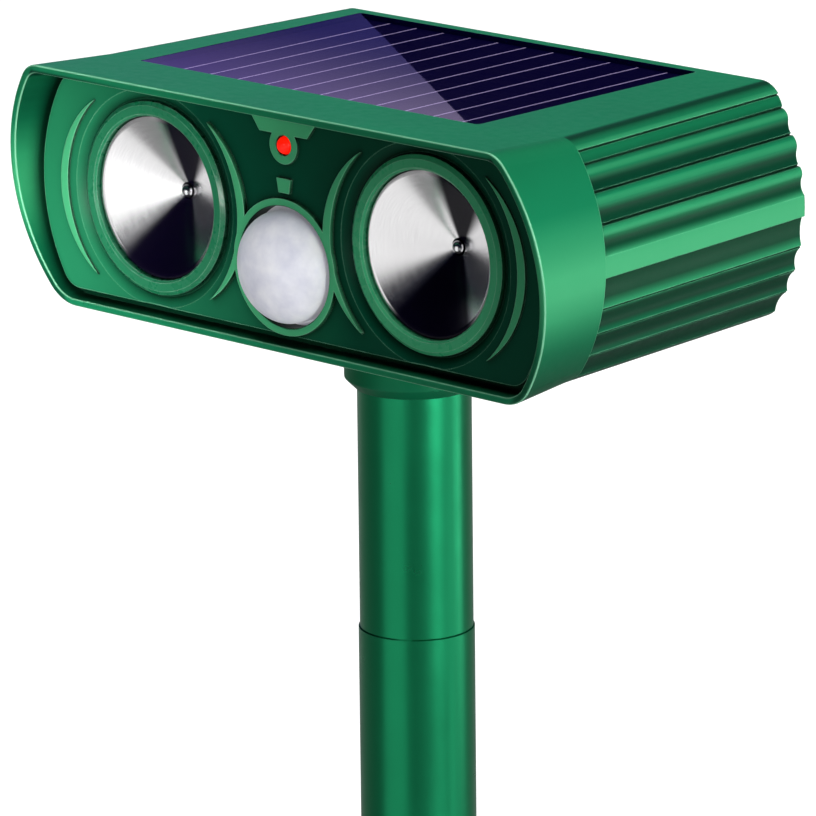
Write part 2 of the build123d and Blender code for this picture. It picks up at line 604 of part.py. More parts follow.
flap = flap + box(port_x - 2.2, port_x + 2.2, 45.8, 47.0, port_z - 5.2, port_z - 4.0)
out("port_flap", flap)
out("port_flap_pin", Pos(port_x, hinge_y, hinge_z) * Rot(0, 90, 0) * Cylinder(0.6, 17.0))

# ----------------------------------------------------------------- internal leads, held along their whole way
def lead(pts, radii, r=0.6):
    path = FilletPolyline(*pts, radius=radii)
    start = Plane(origin=path.position_at(0), z_dir=path.tangent_at(0))
    w = sweep(start * Circle(r), path=path)
    want = math.pi * r * r * path.length
    print("lead length %.1f, radii %s, volume ratio %.4f" % (path.length, radii, w.volume / want))
    return w


solar_leads = lead([(-1.2, 30.0, 247.8), (-1.2, 30.0, 243.6), (-1.2, 10.0, 242.2), (-1.2, 1.6, 242.2)], [3.0, 9.0]) \
    + lead([(1.2, 30.0, 247.8), (1.2, 30.0, 243.6), (1.2, 10.0, 242.2), (1.2, 1.6, 242.2)], [3.0, 9.0])
out("solar_leads", solar_leads)
battery_leads = lead([(29.9, 18.0, 233.0), (36.0, 18.0, 233.0), (36.0, 8.0, 236.5), (27.5, 5.5, 240.5), (27.5, 1.6, 240.5)], [2.6, 3.2, 1.6]) \
    + lead([(-29.9, 18.0, 233.0), (-36.0, 18.0, 233.0), (-36.0, 8.0, 236.5), (-27.5, 5.5, 240.5), (-27.5, 1.6, 240.5)], [2.6, 3.2, 1.6])
out("battery_leads", battery_leads)
for side, sx in (("left", -1), ("right", 1)):
    pair = Part()
    for dz in (0.0, -4.0):
        pair = pair + lead([(sx * 40.6, -15.5, 212.6 + dz + 4.0), (sx * 40.6, -9.5, 212.6 + dz + 4.0),
                            (sx * 29.0, -5.0, 211.6 + dz), (sx * 26.0, 0.0, 211.6 + dz)], [2.4, 3.0])
    pair = pair - box(-30, 30, 0.0, 1.6, 206.8, 244.0)
    out("speaker_leads_" + side, pair)

# ----------------------------------------------------------------- pole socket under the head
sock = cyl_z(0, 0, collar_r, collar_bottom, head_bottom)
sock = chamfer(sock.edges().filter_by(GeomType.CIRCLE).sort_by(Axis.Z)[0], 2.3)
sock = fillet(sock.edges().filter_by(GeomType.CIRCLE).sort_by(Axis.Z)[1:2], 0.5)
sock = sock + cyl_z(0, 0, 14.4, head_bottom - 0.5, tube_top_z + 2.0)
sock = sock - cyl_z(0, 0, tube_r + bore_clear, collar_bottom - 1, tube_top_z)
out("pole_socket", sock)
out("socket_lock_ring", cyl_z(0, 0, 19.0, head_bottom + wall_bottom, head_bottom + wall_bottom + 2.6)
    - cyl_z(0, 0, 14.43, 190, 210))

# ----------------------------------------------------------------- pole and stake
upper = cyl_z(0, 0, tube_r, tube_joint_z, tube_top_z) + cyl_z(0, 0, lower_r - tube_wall - bore_clear, tube_joint_z - spigot_len, tube_joint_z)
upper = chamfer(upper.edges().filter_by(GeomType.CIRCLE).sort_by(Axis.Z)[0], 0.6)
upper = upper - cyl_z(0, 0, 9.7, 90, tube_joint_z + 3.0) - cyl_z(0, 0, tube_r - tube_wall, tube_joint_z + 2.0, tube_top_z + 1)
out("upper_tube", upper)
lower = cyl_z(0, 0, lower_r, flange_t, tube_joint_z)
lower = chamfer(lower.edges().filter_by(GeomType.CIRCLE).sort_by(Axis.Z)[-1], 0.25)
lower = lower - cyl_z(0, 0, lower_r - tube_wall, flange_t - 1, tube_joint_z + 1)
out("lower_tube", lower)

stake = cyl_z(0, 0, 21.0, 0, flange_t)
stake = fillet(stake.edges().filter_by(GeomType.CIRCLE), 0.8)
stake = stake + cyl_z(0, 0, lower_r - tube_wall - bore_clear, flange_t - 0.5, flange_t + spigot_len)
fin = Face(Wire(Polyline((-14.0, 0, 0.5), (14.0, 0, 0.5), (12.2, 0, -100.0), (0.9, 0, -stake_len), (-0.9, 0, -stake_len), (-12.2, 0, -100.0), close=True).edges()))
fin_x = Solid.extrude(Pos(0, -1.3, 0) * fin, Vector(0, 2.6, 0))
stake = stake + fin_x + Rot(0, 0, 90) * fin_x
core = Solid.make_cone(3.6, 0.9, 150.0, Plane(origin=(0, 0, 0.5), z_dir=(0, 0, -1)))
stake = stake + core
stake = stake - cyl_z(0, 0, 8.6, 8.0, flange_t + spigot_len + 1)
out("ground_stake", stake)
print("done")
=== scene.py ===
import bpy
import bmesh
import math
from mathutils import Matrix, Vector


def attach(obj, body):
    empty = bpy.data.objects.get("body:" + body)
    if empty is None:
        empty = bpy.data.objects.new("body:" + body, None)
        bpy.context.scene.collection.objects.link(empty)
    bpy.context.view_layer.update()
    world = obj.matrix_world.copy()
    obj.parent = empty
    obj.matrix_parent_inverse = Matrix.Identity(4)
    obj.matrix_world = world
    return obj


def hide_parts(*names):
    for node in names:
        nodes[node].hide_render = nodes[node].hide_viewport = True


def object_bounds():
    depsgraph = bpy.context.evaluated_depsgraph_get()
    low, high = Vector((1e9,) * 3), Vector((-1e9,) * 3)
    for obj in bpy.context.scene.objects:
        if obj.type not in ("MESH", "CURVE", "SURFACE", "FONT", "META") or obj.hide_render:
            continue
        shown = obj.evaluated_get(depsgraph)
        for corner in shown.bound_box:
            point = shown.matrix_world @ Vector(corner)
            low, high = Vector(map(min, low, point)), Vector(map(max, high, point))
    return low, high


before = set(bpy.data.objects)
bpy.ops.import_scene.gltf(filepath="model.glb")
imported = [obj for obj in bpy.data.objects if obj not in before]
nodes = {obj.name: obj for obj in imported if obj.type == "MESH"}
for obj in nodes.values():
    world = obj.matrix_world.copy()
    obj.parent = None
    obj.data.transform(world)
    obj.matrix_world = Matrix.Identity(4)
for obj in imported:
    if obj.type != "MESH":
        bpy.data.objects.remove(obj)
cad_lo, cad_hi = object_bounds()
scene = bpy.context.scene
MM = 0.001
RIB_VALLEY_SHADE = 0.9              # how dark the painted shade in the valleys between the side ribs goes
FLOOR_LIFT = 0.90           # what the pale floor adds towards the camera, so that it stays even and white
WORLD_DIM = 0.015            # surroundings as seen in reflections


# ---------------------------------------------------------------- small helpers
def lin(r, g, b):
    def f(c):
        c = c / 255.0
        return c / 12.92 if c <= 0.04045 else ((c + 0.055) / 1.055) ** 2.4
    return (f(r), f(g), f(b), 1.0)


class Mat:
    """A node material being put together."""

    def __init__(self, name):
        self.m = bpy.data.materials.new(name)
        self.m.use_nodes = True
        self.t = self.m.node_tree
        self.t.nodes.clear()
        self.out = self.t.nodes.new("ShaderNodeOutputMaterial")
        self.co = self.t.nodes.new("ShaderNodeTexCoord").outputs["Object"]

    def node(self, kind, **props):
        n = self.t.nodes.new(kind)
        for k, v in props.items():
            setattr(n, k, v)
        return n

    def link(self, a, b):
        self.t.links.new(a, b)

    def put(self, value, socket):
        if isinstance(value, bpy.types.NodeSocket):
            self.link(value, socket)
        else:
            socket.default_value = value

    def math(self, op, a, b=0.0, clamp=False):
        n = self.node("ShaderNodeMath", operation=op)
        n.use_clamp = clamp
        self.put(a, n.inputs[0])
        self.put(b, n.inputs[1])
        return n.outputs[0]

    def noise(self, scale, detail=3.0, rough=0.5, co=None, distort=0.0):
        n = self.node("ShaderNodeTexNoise")
        n.inputs["Scale"].default_value = scale
        n.inputs["Detail"].default_value = detail
        n.inputs["Roughness"].default_value = rough
        n.inputs["Distortion"].default_value = distort
        self.link(co or self.co, n.inputs["Vector"])
        return n.outputs["Fac"]

    def span(self, value, a, b, c, d):
        n = self.node("ShaderNodeMapRange")
        n.clamp = True
        self.put(value, n.inputs["Value"])
        n.inputs["From Min"].default_value = a
        n.inputs["From Max"].default_value = b
        n.inputs["To Min"].default_value = c
        n.inputs["To Max"].default_value = d
        return n.outputs["Result"]

    def mix(self, fac, a, b, mode="MIX"):
        n = self.node("ShaderNodeMix", data_type="RGBA", blend_type=mode)
        self.put(fac, n.inputs["Factor"])
        self.put(a, n.inputs["A"])
        self.put(b, n.inputs["B"])
        return n.outputs["Result"]

    def axis(self, which, co=None):
        n = self.node("ShaderNodeSeparateXYZ")
        self.link(co or self.co, n.inputs[0])
        return n.outputs[which]

    def scaled(self, sx, sy, sz, off=(0, 0, 0)):
        n = self.node("ShaderNodeMapping")
        n.inputs["Scale"].default_value = (sx, sy, sz)
        n.inputs["Location"].default_value = off
        self.link(self.co, n.inputs["Vector"])
        return n.outputs["Vector"]

    def bump(self, height, distance, strength=1.0, normal=None):
        n = self.node("ShaderNodeBump")
        n.inputs["Strength"].default_value = strength
        n.inputs["Distance"].default_value = distance
        self.link(height, n.inputs["Height"])
        if normal is not None:
            self.link(normal, n.inputs["Normal"])
        return n.outputs["Normal"]

    def bsdf(self, **sockets):
        n = self.node("ShaderNodeBsdfPrincipled")
        for k, v in sockets.items():
            self.put(v, n.inputs[k.replace("_", " ")])
        self.link(n.outputs[0], self.out.inputs["Surface"])
        return n


def dress(names, mat):
    for name in names:
        o = nodes[name]
        if not o.material_slots:
            o.data.materials.append(mat)
        for s in o.material_slots:
            s.material = mat


def edge_mask(m, radius, gain):
    """1 along outside edges, 0 on faces: where the rounded normal leaves the true one."""
    bev = m.node("ShaderNodeBevel")
    bev.samples = 4
    bev.inputs["Radius"].default_value = radius
    geo = m.node("ShaderNodeNewGeometry")
    dot = m.node("ShaderNodeVectorMath", operation="DOT_PRODUCT")
    m.link(bev.outputs[0], dot.inputs[0])
    m.link(geo.outputs["Normal"], dot.inputs[1])
    return bev.outputs[0], m.math("MULTIPLY", m.math("SUBTRACT", 1.0, dot.outputs["Value"]), gain, clamp=True)


def moulded(name, rgb, rough=0.36, spec=0.5, worn_edge_highlight_rgb=None, grain=0.000012, bevel=0.0004, raised=None, raised_rgb=None,
            metal=0.0, coat=0.0, ribs=False, crevice_shade=0.85, reach=0.0026, worn_edge_highlight_gain=0.55, ao_span=(0.40, 0.92), painted_shade_rgb=None):
    """Satin moulded plastic: fine spark-eroded grain, flow variation, edges painted paler as highlights in wear-like
    patches, crevices darkened with painted shade.
    """
    m = Mat(name)
    base = lin(*rgb)
    slow = m.noise(28.0, 4.0, 0.55)
    colour = m.mix(m.span(slow, 0.3, 0.7, 0.0, 1.0), tuple(c * 0.95 for c in base[:3]) + (1.0,), tuple(min(1, c * 1.05) for c in base[:3]) + (1.0,))
    if painted_shade_rgb is not None:
        # painted shade: the sunken field is coloured a deeper green away from its left end, less so low down left of
        # centre, standing in for the shade of the rim's walls
        low = m.math("MULTIPLY", m.span(m.axis("Z"), 0.205, 0.222, 0.5, 0.0), m.span(m.axis("X"), -0.020, 0.020, 1.0, 0.0))
        painted_shade = m.math("MULTIPLY", m.span(m.axis("X"), -0.070, -0.026, 0.0, 1.0), m.math("SUBTRACT", 1.0, low))
        colour = m.mix(painted_shade, colour, lin(*painted_shade_rgb))
    if raised is not None:
        y = m.axis("Y")
        top = m.span(y, raised[0], raised[1], 1.0, 0.0)
        colour = m.mix(top, colour, lin(*raised_rgb))
    if ribs:
        # how far below the smooth outline of the rounded side a point is: the ribs' valleys get painted shade and
        # their crests a painted highlight
        x, y, z = m.axis("X"), m.axis("Y"), m.axis("Z")
        cx = m.math("ADD", m.math("MULTIPLY", m.math("ADD", y, 0.0459), -0.0686), 0.0377)
        dx = m.math("SUBTRACT", m.math("ABSOLUTE", x), cx)
        dz = m.math("SUBTRACT", z, 0.22345)
        rad = m.math("SQRT", m.math("ADD", m.math("MULTIPLY", dx, dx), m.math("MULTIPLY", dz, dz)))
        depth = m.math("SUBTRACT", 0.042, rad)
        zone = m.math("MULTIPLY", m.math("GREATER_THAN", dx, 0.0), m.span(depth, 0.0014, 0.0020, 1.0, 0.0))
        zone = m.math("MULTIPLY", zone, m.math("MULTIPLY", m.math("GREATER_THAN", y, -0.02455), m.math("LESS_THAN", y, 0.0459)))
        valley_shade = m.math("MULTIPLY", m.span(depth, 0.00012, 0.00085, 0.0, RIB_VALLEY_SHADE), zone)
        crest_highlight = m.math("MULTIPLY", m.span(depth, -0.00005, 0.00018, 0.55, 0.0), zone)
        # painted light and shade: the rounded side is painted paler along its middle as if lit there, darker above it
        # and darkest towards the underside
        flank = m.math("MULTIPLY", m.span(dx, 0.012, 0.030, 0.0, 1.0), m.span(depth, 0.0014, 0.0024, 1.0, 0.0))
        painted_belt_light = m.math("SUBTRACT", 1.0, m.span(m.math("ABSOLUTE", m.math("ADD", dz, 0.001)), 0.002, 0.015, 0.0, 1.0))
        colour = m.mix(m.math("MULTIPLY", m.math("MULTIPLY", painted_belt_light, flank), 0.75), colour, lin(66, 172, 116))
        painted_underside_shade = m.span(dz, -0.024, -0.008, 0.95, 0.0)
        colour = m.mix(m.math("MULTIPLY", painted_underside_shade, flank), colour, lin(1, 74, 47))
        painted_shoulder_shade = m.math("MULTIPLY", m.span(dz, 0.010, 0.024, 0.0, 0.55), m.span(dz, 0.030, 0.037, 1.0, 0.0))
        colour = m.mix(m.math("MULTIPLY", painted_shoulder_shade, flank), colour, lin(14, 92, 58))
        # inside the rim the wall falls off into shade above and below its middle
        inner = m.math("MULTIPLY", m.span(depth, 0.0014, 0.0018, 0.0, 1.0), m.math("LESS_THAN", y, -0.036))
        inner = m.math("MULTIPLY", inner, m.span(dx, -0.005, 0.020, 0.0, 1.0))
        tall = m.math("ABSOLUTE", dz)
        shade = m.math("ADD", m.span(dz, 0.005, 0.019, 0.0, 0.97), m.span(dz, -0.024, -0.012, 0.35, 0.0))
        inner = m.math("MULTIPLY", inner, m.math("MULTIPLY", shade, m.span(tall, 0.0260, 0.0266, 1.0, 0.0)))
        colour = m.mix(inner, colour, lin(0, 42, 30))
        # painted shade in the rib valleys, painted highlight on the rib crests
        colour = m.mix(valley_shade, colour, lin(0, 46, 30))
        colour = m.mix(crest_highlight, colour, lin(72, 172, 118))
        # painted highlight: a pale line along the moulded rim's rounded-over edges
        q = m.math("ADD", m.math("ADD", y, 0.0453), m.math("MULTIPLY", dz, 0.142))
        lip_highlight = m.math("MULTIPLY", m.span(q, 0.00003, 0.00012, 0.0, 1.0), m.span(q, 0.00030, 0.00045, 1.0, 0.0))
        lip_highlight = m.math("MULTIPLY", lip_highlight, m.math("MULTIPLY", m.math("GREATER_THAN", z, 0.19), m.math("LESS_THAN", y, -0.03)))
        colour = m.mix(m.math("MULTIPLY", lip_highlight, 0.75), colour, lin(140, 212, 172))
    speck = m.noise(5200.0, 2.0, 0.6)
    colour = m.mix(0.05, colour, m.mix(speck, (0.3, 0.3, 0.3, 1), (0.7, 0.7, 0.7, 1)), "OVERLAY")
    normal, edges = edge_mask(m, bevel, 5.0)
    # painted highlight: outside edges coloured paler, in wear-like patches, as if light caught them
    if worn_edge_highlight_rgb is not None:
        worn_edge_highlight = m.math("MULTIPLY", edges, m.span(m.noise(240.0, 3.0, 0.6), 0.35, 0.65, 0.5, 1.0))
        colour = m.mix(m.math("MULTIPLY", worn_edge_highlight, worn_edge_highlight_gain), colour, lin(*worn_edge_highlight_rgb))
    # painted shade: crevices, recesses and gaps between parts darkened towards near-black by ambient occlusion
    ao = m.node("ShaderNodeAmbientOcclusion")
    ao.samples = 8
    ao.inputs["Distance"].default_value = reach
    colour = m.mix(m.span(ao.outputs["AO"], ao_span[0], ao_span[1], crevice_shade, 0.0), colour, tuple(c * 0.04 for c in base[:3]) + (1.0,))
    if ribs:
        # dark sealant round the walls of the panel's recess
        in_x = m.math("LESS_THAN", m.math("ABSOLUTE", m.math("ADD", x, 0.0057)), 0.0510)
        in_y = m.math("LESS_THAN", m.math("ABSOLUTE", m.math("SUBTRACT", y, 0.00775)), 0.03565)
        in_z = m.math("MULTIPLY", m.math("GREATER_THAN", z, 0.2478), m.math("LESS_THAN", z, 0.24998))
        seal = m.math("MULTIPLY", m.math("MULTIPLY", in_x, in_y), in_z)
        colour = m.mix(m.math("MULTIPLY", seal, 0.98), colour, lin(14, 12, 84))
    roughness = m.span(m.math("ADD", m.math("MULTIPLY", m.noise(420.0, 3.0, 0.6), 0.6), m.math("MULTIPLY", slow, 0.4)),
                       0.3, 0.7, rough - 0.05, rough + 0.06)
    height = m.math("ADD", m.noise(2600.0, 2.0, 0.55), m.math("MULTIPLY", m.noise(120.0, 2.0, 0.5), 0.8))
    n = m.bump(height, grain, 1.0, normal)
    m.bsdf(Base_Color=colour, Roughness=roughness, Normal=n, Specular_IOR_Level=spec, Metallic=metal, Coat_Weight=coat,
           Coat_Roughness=0.12)
    return m.m


def tube_paint(name, rgb):
    """Metallic enamel on a steel tube: slight peel, fine flake."""
    m = Mat(name)
    base = lin(*rgb)
    peel = m.noise(260.0, 3.0, 0.5)
    fine = m.noise(3800.0, 2.0, 0.5)
    colour = m.mix(m.span(m.noise(16.0, 3.0, 0.5), 0.3, 0.7, 0, 1), tuple(c * 0.95 for c in base[:3]) + (1.0,), tuple(c * 1.04 for c in base[:3]) + (1.0,))
    colour = m.mix(m.span(fine, 0.3, 0.7, 0.0, 0.08), colour, tuple(min(1, c * 1.5) for c in base[:3]) + (1.0,))
    height = m.math("ADD", m.math("MULTIPLY", peel, 1.0), m.math("MULTIPLY", fine, 0.12))
    n = m.bump(height, 0.000004, 1.0)
    rough = m.span(m.noise(70.0, 4.0, 0.6), 0.3, 0.7, 0.27, 0.34)
    m.bsdf(Base_Color=colour, Roughness=rough, Normal=n, Metallic=0.86, Specular_IOR_Level=0.2)
    return m.m


def spun_metal(name):
    """Mirror-spun cone: turning marks round the axis, and a painted fan of dark sectors standing in for the dark parts
    of its reflection.
    """
    m = Mat(name)
    tan = m.node("ShaderNodeTangent", direction_type="RADIAL", axis="Y")
    x, z = m.axis("X"), m.axis("Z")
    turn = m.math("ARCTAN2", z, x)

    def fan(centre, half, soft):
        off = m.math("ABSOLUTE", m.math("SUBTRACT", turn, math.radians(centre)))
        n = m.node("ShaderNodeMapRange")
        n.interpolation_type = "SMOOTHSTEP"
        m.link(off, n.inputs["Value"])
        n.inputs["From Min"].default_value = math.radians(half)
        n.inputs["From Max"].default_value = math.radians(half + soft)
        n.inputs["To Min"].default_value = 1.0
        n.inputs["To Max"].default_value = 0.0
        return n.outputs["Result"]

    # painted reflection: two fixed sectors of the cone go near-black, standing in for the dark parts of its reflection
    painted_dark_fans = m.math("MAXIMUM", fan(60.0, 17.0, 17.0), fan(-87.0, 34.0, 17.0))
    rings = m.noise(1.0, 2.0, 0.5, co=m.scaled(300, 30000, 300))
    colour = m.mix(m.span(rings, 0.3, 0.7, 0, 1), (0.80, 0.79, 0.80, 1), (0.92, 0.915, 0.92, 1))
    rough = m.span(rings, 0.3, 0.7, 0.16, 0.24)
    metal = m.bsdf(Base_Color=colour, Metallic=1.0, Roughness=rough, Anisotropic=0.7, Tangent=tan.outputs[0])
    painted_dark_reflection = m.node("ShaderNodeBsdfDiffuse")
    painted_dark_reflection.inputs["Color"].default_value = (0.002, 0.001, 0.008, 1)
    both = m.node("ShaderNodeMixShader")
    m.link(m.math("MULTIPLY", painted_dark_fans, 0.97), both.inputs[0])
    m.link(metal.outputs[0], both.inputs[1])
    m.link(painted_dark_reflection.outputs[0], both.inputs[2])
    m.link(both.outputs[0], m.out.inputs["Surface"])
    return m.m


def plain_metal(name, rgb, rough=0.15, brushed=0.0):
    m = Mat(name)
    n1 = m.noise(900.0, 3.0, 0.6)
    base = lin(*rgb)
    colour = m.mix(m.span(n1, 0.3, 0.7, 0, 1), tuple(c * 0.9 for c in base[:3]) + (1.0,), base)
    normal, edges = edge_mask(m, 0.0002, 4.0)
    nn = m.bump(m.noise(1800.0, 2.0, 0.5), 0.000004, 1.0, normal)
    m.bsdf(Base_Color=colour, Metallic=1.0, Roughness=m.span(n1, 0.3, 0.7, rough, rough + 0.08 + brushed), Normal=nn)
    return m.m


def glow_red(name):
    m = Mat(name)
    n1 = m.noise(700.0, 2.0, 0.5)
    colour = m.mix(n1, (0.85, 0.004, 0.0, 1), (0.95, 0.01, 0.002, 1))
    m.bsdf(Base_Color=colour, Roughness=0.35, Specular_IOR_Level=0.3, Emission_Color=colour, Emission_Strength=0.9)
    return m.m


def milky(name):
    m = Mat(name)
    n1 = m.noise(90.0, 4.0, 0.55)
    n2 = m.noise(420.0, 3.0, 0.5)
    colour = m.mix(m.span(n1, 0.36, 0.60, 0, 1), (0.52, 0.53, 0.63, 1), (0.74, 0.745, 0.80, 1))
    h = m.math("ADD", n2, m.math("MULTIPLY", n1, 0.5))
    # painted light: the lens glows faintly though it is no lamp
    m.bsdf(Base_Color=colour, Roughness=m.span(n2, 0.3, 0.7, 0.34, 0.46), Emission_Color=(0.93, 0.94, 1.0, 1), Emission_Strength=0.13, Subsurface_Weight=0.45, Subsurface_Radius=(0.004, 0.004, 0.005),
           Subsurface_Scale=0.6, Normal=m.bump(h, 0.00005, 0.6))
    return m.m


def silicon(name):
    m = Mat(name)
    fine = m.noise(1.0, 2.0, 0.5, co=m.scaled(60, 900, 10))
    colour = m.mix(fine, (0.0010, 0.0002, 0.022, 1), (0.0022, 0.0008, 0.034, 1))
    m.bsdf(Base_Color=colour, Roughness=m.span(fine, 0.3, 0.7, 0.38, 0.44), Specular_IOR_Level=0.015)
    return m.m


def thin_glass(name):
    m = Mat(name)
    tr = m.node("ShaderNodeBsdfTransparent")
    tr.inputs[0].default_value = (0.93, 0.93, 0.96, 1)
    gl = m.node("ShaderNodeBsdfGlossy")
    # painted reflection: the glass's mirror image is dimmed and tinted blue towards the back edge
    reflection_fade = m.span(m.axis("Y"), -0.0274, 0.032, 1.0, 0.0)
    m.link(m.mix(m.math("MULTIPLY", reflection_fade, reflection_fade), (0.10, 0.11, 0.34, 1), (0.96, 0.94, 1.0, 1)), gl.inputs["Color"])
    n1 = m.noise(40.0, 2.0, 0.5)
    m.link(m.span(n1, 0.3, 0.7, 0.004, 0.012), gl.inputs["Roughness"])
    # the outer face mirrors more at a grazing angle; the inner face lets everything through
    lw = m.node("ShaderNodeLayerWeight")
    lw.inputs["Blend"].default_value = 0.5
    grazing = m.math("ADD", m.math("MULTIPLY", m.math("POWER", lw.outputs["Facing"], 5.0), 0.965), 0.035)
    outer = m.math("GREATER_THAN", m.axis("Z"), 0.2495)
    mix = m.node("ShaderNodeMixShader")
    m.link(m.math("MULTIPLY", grazing, outer), mix.inputs[0])
    m.link(tr.outputs[0], mix.inputs[1])
    m.link(gl.outputs[0], mix.inputs[2])
    m.link(mix.outputs[0], m.out.inputs["Surface"])
    return m.m


def silver_ink(name, rgb):
    m = Mat(name)
    n1 = m.noise(2400.0, 3.0, 0.6)
    base = lin(*rgb)
    colour = m.mix(m.span(n1, 0.3, 0.7, 0, 1), tuple(c * 0.85 for c in base[:3]) + (1.0,), base)
    m.bsdf(Base_Color=colour, Metallic=0.0, Roughness=m.span(n1, 0.3, 0.7, 0.32, 0.45), Normal=m.bump(n1, 0.000003, 1.0))
    return m.m


def wire_skin(name):
    """Twin leads: one red, one black, told apart by which side of the part they run on."""
    m = Mat(name)
    n1 = m.noise(800.0, 2.0, 0.5)
    side = m.span(m.axis("X"), -0.0002, 0.0002, 0.0, 1.0)
    colour = m.mix(side, (0.012, 0.012, 0.014, 1), (0.45, 0.012, 0.01, 1))
    m.bsdf(Base_Color=m.mix(0.1, colour, (0.2, 0.2, 0.2, 1)), Roughness=m.span(n1, 0.3, 0.7, 0.38, 0.5), Normal=m.bump(n1, 0.00001, 1.0))
    return m.m


GREEN = (20, 124, 82)
shell_mat = moulded("moulded_green", GREEN, rough=0.40, spec=0.10, worn_edge_highlight_rgb=(130, 215, 170), ribs=True, worn_edge_highlight_gain=0.8, metal=0.12,
                    reach=0.0045, ao_span=(0.42, 0.97), crevice_shade=0.9)
fascia_mat = moulded("fascia_green", (34, 124, 84), rough=0.38, spec=0.05, worn_edge_highlight_rgb=(150, 222, 182), raised=(-0.03955, -0.0395),
                     raised_rgb=(70, 168, 116), crevice_shade=1.0, reach=0.0030, ao_span=(0.46, 0.95), worn_edge_highlight_gain=0.9, painted_shade_rgb=(2, 66, 46))
# painted light and shade: the two speaker rings are one trim green, painted darker on the left ring and paler on the
# right ring
trim_painted_shade_left = moulded("trim_green_painted_shade_left", (32, 118, 80), rough=0.28, spec=0.25, worn_edge_highlight_rgb=(205, 240, 220), worn_edge_highlight_gain=0.65, bevel=0.0003)
trim_painted_light_right = moulded("trim_green_painted_light_right", (62, 172, 118), rough=0.28, spec=0.25, worn_edge_highlight_rgb=(215, 245, 228), worn_edge_highlight_gain=0.65, bevel=0.0003)
# painted shade: the collar under the head is a darker copy of the housing green
collar_painted_shade_mat = moulded("collar_green_painted_shade", (8, 96, 62), rough=0.40, spec=0.10, worn_edge_highlight_rgb=(110, 200, 155), worn_edge_highlight_gain=0.6, metal=0.12, reach=0.0045,
                     ao_span=(0.42, 0.97), crevice_shade=0.9)
tube_mat = tube_paint("tube_green", (24, 134, 88))
cone_mat = spun_metal("spun_cone")
chrome_mat = plain_metal("chrome", (235, 235, 238), 0.05)
steel_mat = plain_metal("zinc_steel", (170, 172, 176), 0.28)
dark_metal = plain_metal("dark_metal", (90, 90, 96), 0.35)
black_mat = moulded("black_plastic", (14, 14, 16), rough=0.45, worn_edge_highlight_rgb=(60, 60, 64))
rubber_mat = moulded("rubber_seal", (12, 12, 14), rough=0.75, spec=0.3)
lens_mat = milky("milky_lens")
led_mat = glow_red("lamp_red")
cell_mat = silicon("silicon")
bus_mat = silver_ink("printed_silver", (214, 194, 236))
glass_mat = thin_glass("panel_glass")
back_mat = moulded("backsheet", (9, 8, 58), rough=0.6, spec=0.02, crevice_shade=0.3)
pcb_mat = moulded("solder_mask", (12, 92, 52), rough=0.35)
sleeve_mat = moulded("cell_sleeve", (205, 207, 210), rough=0.3)
cap_mat = moulded("capacitor_sleeve", (24, 30, 66), rough=0.3)

dress(["housing_shell", "rear_cover", "battery_door", "ground_stake"], shell_mat)
dress(["pole_socket", "socket_lock_ring"], collar_painted_shade_mat)
dress(["front_fascia"], fascia_mat)
dress(["speaker_ring_left"], trim_painted_shade_left)
dress(["speaker_ring_right"], trim_painted_light_right)
dress(["upper_tube", "lower_tube"], tube_mat)
dress(["speaker_cone_left", "speaker_cone_right"], cone_mat)
dress(["cone_ball_left", "cone_ball_right"], chrome_mat)
dress(["rear_cover_screws", "battery_door_screws", "board_screws", "port_flap_pin", "battery_contacts", "pir_sensor"], steel_mat)
dress(["speaker_driver_left", "speaker_driver_right", "drive_transformer_left", "drive_transformer_right"], dark_metal)
dress(["frequency_knob", "sensitivity_knob", "power_switch_slider", "power_switch_body", "charge_port", "control_chip",
       "frequency_potentiometer", "sensitivity_potentiometer", "battery_holder", "pir_retainer"], black_mat)
dress(["port_flap", "rear_gasket"], rubber_mat)
dress(["pir_lens"], lens_mat)
dress(["led_indicator"], led_mat)
dress(["solar_cells"], cell_mat)
dress(["solar_busbars"], bus_mat)
dress(["solar_glass"], glass_mat)
dress(["solar_backsheet"], back_mat)
dress(["main_pcb", "pir_board"], pcb_mat)
dress(["battery_cells"], sleeve_mat)
dress(["capacitors"], cap_mat)
dress([n for n in nodes if n.endswith("_leads") or "_leads_" in n], wire_skin("lead_wire"))


# ---------------------------------------------------------------- lathed cones, each with its own axis
def lathe(name, profile, segments, centre, mat, body, smooth_deg=32.0):
    """profile: (radius, y) pairs in mm, turned about Y through centre."""
    mesh = bpy.data.meshes.new(name)
    verts, faces, rows = [], [], []
    for r, y in profile:
        row = []
        for k in range(segments):
            a = 2.0 * math.pi * k / segments
            row.append(len(verts))
            verts.append((r * MM * math.cos(a), y * MM, r * MM * math.sin(a)))
        rows.append(row)
    count = len(rows)
    for i in range(count):
        a, b = rows[i], rows[(i + 1) % count]
        for k in range(segments):
            n = (k + 1) % segments
            faces.append((a[k], a[n], b[n], b[k]))
    mesh.from_pydata(verts, [], faces)
    mesh.update()
    bm2 = bmesh.new()
    bm2.from_mesh(mesh)
    bmesh.ops.recalc_face_normals(bm2, faces=bm2.faces)
    limit = math.radians(smooth_deg)
    for e in bm2.edges:
        e.smooth = len(e.link_faces) == 2 and e.calc_face_angle(0.0) < limit
    for f in bm2.faces:
        f.smooth = True
    bm2.to_mesh(mesh)
    bm2.free()
    o = bpy.data.objects.new(name, mesh)
    o.location = centre
    scene.collection.objects.link(o)
    mesh.materials.append(mat)
    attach(o, body)
    return o


